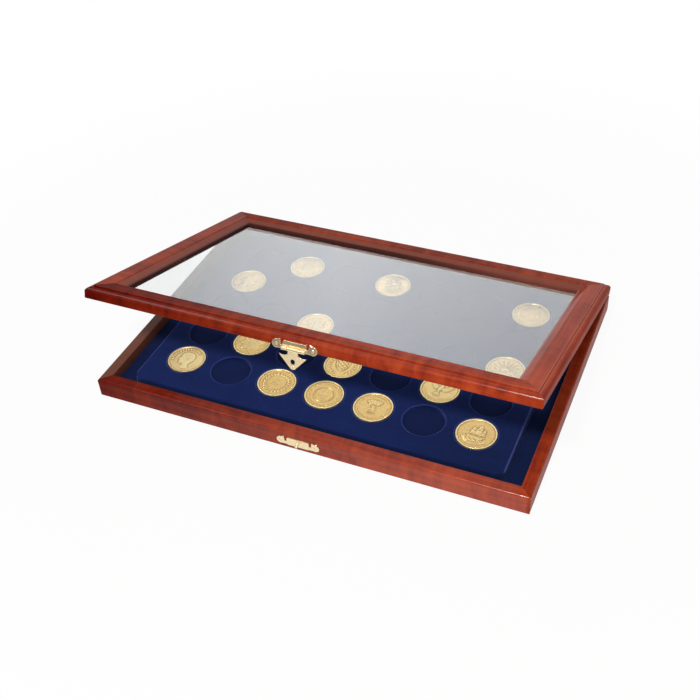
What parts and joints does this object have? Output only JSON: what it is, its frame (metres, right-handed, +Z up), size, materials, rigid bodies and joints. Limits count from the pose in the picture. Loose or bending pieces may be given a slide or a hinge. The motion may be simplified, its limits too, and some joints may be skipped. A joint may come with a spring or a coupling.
{
  "type": "coin display case",
  "caption": "Shallow glazed wooden display case with a flocked tray of round coin recesses, hinged lid and small front hasp.",
  "frame": {"origin": "centre of the base's underside, on the surface it rests on", "axes": "+X to the right along the long side, -Y towards the front with the hasp, +Y towards the hinges, +Z up"},
  "size_m": [0.372, 0.2595, 0.1036],
  "materials": {
    "stained_wood": "gloss red-brown stain and lacquer",
    "panel_board": "thin stained board, satin",
    "navy_flock": "dense navy flock",
    "glass": "clear float glass, 2 mm",
    "coin_gold": "struck gold-coloured metal",
    "pale_brass": "bright pale brass plating",
    "hinge_brass": "satin brass",
    "bright_steel": "bright steel"
  },
  "bodies": {
    "base": {"base_back_rail": "stained_wood", "base_front_rail": "stained_wood", "base_left_rail": "stained_wood", "base_panel": "panel_board", "base_right_rail": "stained_wood", "catch_nails": "pale_brass", "catch_plate": "pale_brass", "coin_tray": "navy_flock", "hinge_screws_base": "hinge_brass", "left_hinge_base_leaf": "hinge_brass", "left_hinge_pin": "hinge_brass", "panel_brads": "bright_steel", "right_hinge_base_leaf": "hinge_brass", "right_hinge_pin": "hinge_brass"},
    "lid": {"glass_pane": "glass", "glazing_bead_back": "stained_wood", "glazing_bead_front": "stained_wood", "glazing_bead_left": "stained_wood", "glazing_bead_right": "stained_wood", "hinge_screws_lid": "hinge_brass", "latch_nails": "pale_brass", "latch_pin": "pale_brass", "latch_plate": "pale_brass", "left_hinge_lid_leaf": "hinge_brass", "lid_back_rail": "stained_wood", "lid_front_rail": "stained_wood", "lid_left_rail": "stained_wood", "lid_right_rail": "stained_wood", "right_hinge_lid_leaf": "hinge_brass"},
    "hasp": {"hasp": "pale_brass"},
    "coin_row1_col1": {"coin_row1_col1": "coin_gold"},
    "coin_row1_col3": {"coin_row1_col3": "coin_gold"},
    "coin_row1_col4": {"coin_row1_col4": "coin_gold"},
    "coin_row1_col5": {"coin_row1_col5": "coin_gold"},
    "coin_row1_col7": {"coin_row1_col7": "coin_gold"},
    "coin_row2_col2": {"coin_row2_col2": "coin_gold"},
    "coin_row2_col4": {"coin_row2_col4": "coin_gold"},
    "coin_row2_col6": {"coin_row2_col6": "coin_gold"},
    "coin_row3_col3": {"coin_row3_col3": "coin_gold"},
    "coin_row3_col7": {"coin_row3_col7": "coin_gold"},
    "coin_row4_col1": {"coin_row4_col1": "coin_gold"},
    "coin_row5_col2": {"coin_row5_col2": "coin_gold"},
    "coin_row5_col4": {"coin_row5_col4": "coin_gold"},
    "coin_row5_col7": {"coin_row5_col7": "coin_gold"}
  },
  "joints": [
    {"name": "lid_hinge", "type": "hinge", "parent": "base", "child": "lid", "pos_m": [0, 0.1239, 0.01765], "axis": [-1, 0, 0], "range_deg": [-18, 82]},
    {"name": "hasp_swing", "type": "hinge", "parent": "lid", "child": "hasp", "pos_m": [0, -0.1167, 0.0962], "axis": [-1, 0, 0], "range_deg": [0, 150]},
    {"name": "coin_row1_col1_lift", "type": "slide", "parent": "base", "child": "coin_row1_col1", "axis": [0, 0, 1], "range_m": [0, 0.0038]},
    {"name": "coin_row1_col3_lift", "type": "slide", "parent": "base", "child": "coin_row1_col3", "axis": [0, 0, 1], "range_m": [0, 0.0038]},
    {"name": "coin_row1_col4_lift", "type": "slide", "parent": "base", "child": "coin_row1_col4", "axis": [0, 0, 1], "range_m": [0, 0.0038]},
    {"name": "coin_row1_col5_lift", "type": "slide", "parent": "base", "child": "coin_row1_col5", "axis": [0, 0, 1], "range_m": [0, 0.0038]},
    {"name": "coin_row1_col7_lift", "type": "slide", "parent": "base", "child": "coin_row1_col7", "axis": [0, 0, 1], "range_m": [0, 0.0038]},
    {"name": "coin_row2_col2_lift", "type": "slide", "parent": "base", "child": "coin_row2_col2", "axis": [0, 0, 1], "range_m": [0, 0.0038]},
    {"name": "coin_row2_col4_lift", "type": "slide", "parent": "base", "child": "coin_row2_col4", "axis": [0, 0, 1], "range_m": [0, 0.0038]},
    {"name": "coin_row2_col6_lift", "type": "slide", "parent": "base", "child": "coin_row2_col6", "axis": [0, 0, 1], "range_m": [0, 0.0038]},
    {"name": "coin_row3_col3_lift", "type": "slide", "parent": "base", "child": "coin_row3_col3", "axis": [0, 0, 1], "range_m": [0, 0.0038]},
    {"name": "coin_row3_col7_lift", "type": "slide", "parent": "base", "child": "coin_row3_col7", "axis": [0, 0, 1], "range_m": [0, 0.0038]},
    {"name": "coin_row4_col1_lift", "type": "slide", "parent": "base", "child": "coin_row4_col1", "axis": [0, 0, 1], "range_m": [0, 0.0038]},
    {"name": "coin_row5_col2_lift", "type": "slide", "parent": "base", "child": "coin_row5_col2", "axis": [0, 0, 1], "range_m": [0, 0.0038]},
    {"name": "coin_row5_col4_lift", "type": "slide", "parent": "base", "child": "coin_row5_col4", "axis": [0, 0, 1], "range_m": [0, 0.0038]},
    {"name": "coin_row5_col7_lift", "type": "slide", "parent": "base", "child": "coin_row5_col7", "axis": [0, 0, 1], "range_m": [0, 0.0038]}
  ]
}
